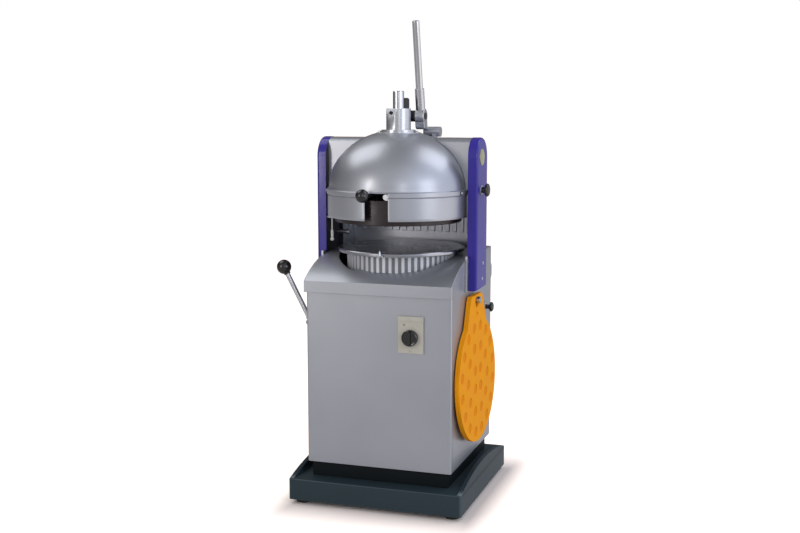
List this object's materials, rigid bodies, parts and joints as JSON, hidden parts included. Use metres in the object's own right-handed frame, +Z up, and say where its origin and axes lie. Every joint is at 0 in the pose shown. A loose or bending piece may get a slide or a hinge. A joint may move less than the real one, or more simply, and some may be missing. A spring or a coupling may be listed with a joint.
{
  "type": "dough divider rounder",
  "caption": "Floor-standing bakery divider rounder: domed press head on two columns over an orbiting round table, with press lever, rounding lever and hung moulding plates.",
  "frame": {"origin": "on the floor plane under the feet, below the middle of the base casting", "axes": "+Z up, -Y towards the front where the operator stands, +X to the operator's right"},
  "size_m": [0.7335, 0.6629, 1.6898],
  "materials": {
    "base_paint": "dark grey-green paint on cast iron",
    "dark_paint": "dark paint",
    "rubber_black": "black rubber",
    "silver_paint": "silver metallic paint, satin",
    "purple_paint": "blue-purple paint, satin",
    "black_paint": "black paint",
    "bright_steel": "machined steel",
    "badge_metal": "pale gold anodised disc, bare",
    "polished_steel": "polished stainless steel",
    "chrome": "hard chrome",
    "cast_aluminium": "cast aluminium, fine blasted",
    "dark_ring": "dark hard-anodised aluminium",
    "white_plastic": "food-grade white plastic",
    "beige_plastic": "beige moulded plastic",
    "black_plastic": "black phenolic plastic",
    "orange_plastic": "orange polyamide"
  },
  "bodies": {
    "frame": {"base_casting": "base_paint", "rubber_feet": "rubber_black", "plinth": "dark_paint", "chassis_frame": "dark_paint", "front_panel": "silver_paint", "left_side_panel": "silver_paint", "right_side_panel": "silver_paint", "rear_panel": "silver_paint", "rear_rail": "silver_paint", "top_cover": "silver_paint", "rear_wall": "silver_paint", "left_post": "black_paint", "right_post": "black_paint", "left_column_cover": "purple_paint", "right_column_cover": "purple_paint", "column_strips": "bright_steel", "cover_screws": "bright_steel", "column_badge": "badge_metal", "yoke_beam": "black_paint", "head_hood": "silver_paint", "dome_cover": "silver_paint", "piston_guide": "bright_steel", "gear_cover": "black_paint", "spring_drum": "silver_paint", "stop_pin": "bright_steel", "stop_block": "white_plastic", "hanging_rod": "white_plastic", "switch_plate": "beige_plastic", "plate_peg": "bright_steel", "control_bushes": "bright_steel", "machine_deck": "dark_paint", "bearing_housing": "dark_paint", "shaft_bearings": "bright_steel", "motor": "dark_paint", "drive_belt": "rubber_black"},
    "crank": {"eccentric_shaft": "bright_steel", "driven_pulley": "dark_paint"},
    "motor_rotor": {"motor_pulley": "bright_steel"},
    "table": {"table_disc": "polished_steel", "fluted_ring": "cast_aluminium", "table_hub": "dark_paint", "locating_pin": "bright_steel"},
    "head": {"piston_rod": "chrome", "head_spider": "dark_paint", "press_ring": "dark_ring", "press_plate": "white_plastic", "catch_stud": "bright_steel"},
    "knives": {"knife_set": "bright_steel"},
    "latch": {"latch_arm": "bright_steel", "latch_ball": "black_plastic"},
    "press_lever": {"lever_boss": "bright_steel", "sector_gear": "black_paint", "lever_tube": "chrome"},
    "round_lever": {"rounding_lever": "bright_steel", "rounding_ball": "black_plastic"},
    "switch": {"switch_knob": "black_plastic"},
    "plate_in": {"inner_plate": "orange_plastic"},
    "plate_out": {"outer_plate": "orange_plastic"},
    "knob_column": {"column_knob": "black_plastic"},
    "knob_cabinet": {"cabinet_knob": "black_plastic"}
  },
  "joints": [
    {"name": "head_slide", "type": "slide", "parent": "frame", "child": "head", "axis": [0, 0, -1], "range_m": [0, 0.083], "stiffness_N_per_m": 800, "springref_m": -0.45},
    {"name": "press_lever_hinge", "type": "hinge", "parent": "frame", "child": "press_lever", "pos_m": [0, 0.0345, 1.358], "axis": [1, 0, 0], "range_deg": [0, 85]},
    {"name": "knife_slide", "type": "slide", "parent": "head", "child": "knives", "axis": [0, 0, -1], "range_m": [0, 0.022], "stiffness_N_per_m": 600, "springref_m": -0.07},
    {"name": "latch_turn", "type": "hinge", "parent": "head", "child": "latch", "pos_m": [0, -0.036, 1.095], "axis": [0, 0, 1], "range_deg": [0, 10]},
    {"name": "crank_spin", "type": "hinge", "parent": "frame", "child": "crank", "pos_m": [0, -0.036, 0.7], "axis": [0, 0, 1], "continuous": true},
    {"name": "table_spin", "type": "hinge", "parent": "crank", "child": "table", "pos_m": [0.01, -0.036, 0.81], "axis": [0, 0, 1], "continuous": true},
    {"name": "motor_spin", "type": "hinge", "parent": "frame", "child": "motor_rotor", "pos_m": [0, 0.15, 0.63], "axis": [0, 0, 1], "continuous": true},
    {"name": "rounding_lever_hinge", "type": "hinge", "parent": "frame", "child": "round_lever", "pos_m": [-0.264, -0.192, 0.638], "axis": [1, 0, 0], "range_deg": [0, 40]},
    {"name": "switch_turn", "type": "hinge", "parent": "frame", "child": "switch", "pos_m": [0.121, -0.273, 0.614], "axis": [0, -1, 0], "range_deg": [0, 90]},
    {"name": "plate_lift_off", "type": "slide", "parent": "frame", "child": "plate_in", "axis": [1, 0, 0], "range_m": [0, 0.06]},
    {"name": "outer_plate_lift_off", "type": "slide", "parent": "plate_in", "child": "plate_out", "axis": [1, 0, 0], "range_m": [0, 0.05]},
    {"name": "column_knob_pull", "type": "slide", "parent": "frame", "child": "knob_column", "axis": [1, 0, 0], "range_m": [0, 0.008], "stiffness_N_per_m": 400, "springref_m": -0.003},
    {"name": "cabinet_knob_pull", "type": "slide", "parent": "frame", "child": "knob_cabinet", "axis": [1, 0, 0], "range_m": [0, 0.008], "stiffness_N_per_m": 400, "springref_m": -0.003}
  ],
  "couplings": [
    {"joint": "press_lever_hinge", "follows": "head_slide", "rad_per_m": 17.857},
    {"joint": "table_spin", "follows": "crank_spin", "ratio": -1},
    {"joint": "motor_spin", "follows": "crank_spin", "ratio": 3.0635}
  ]
}
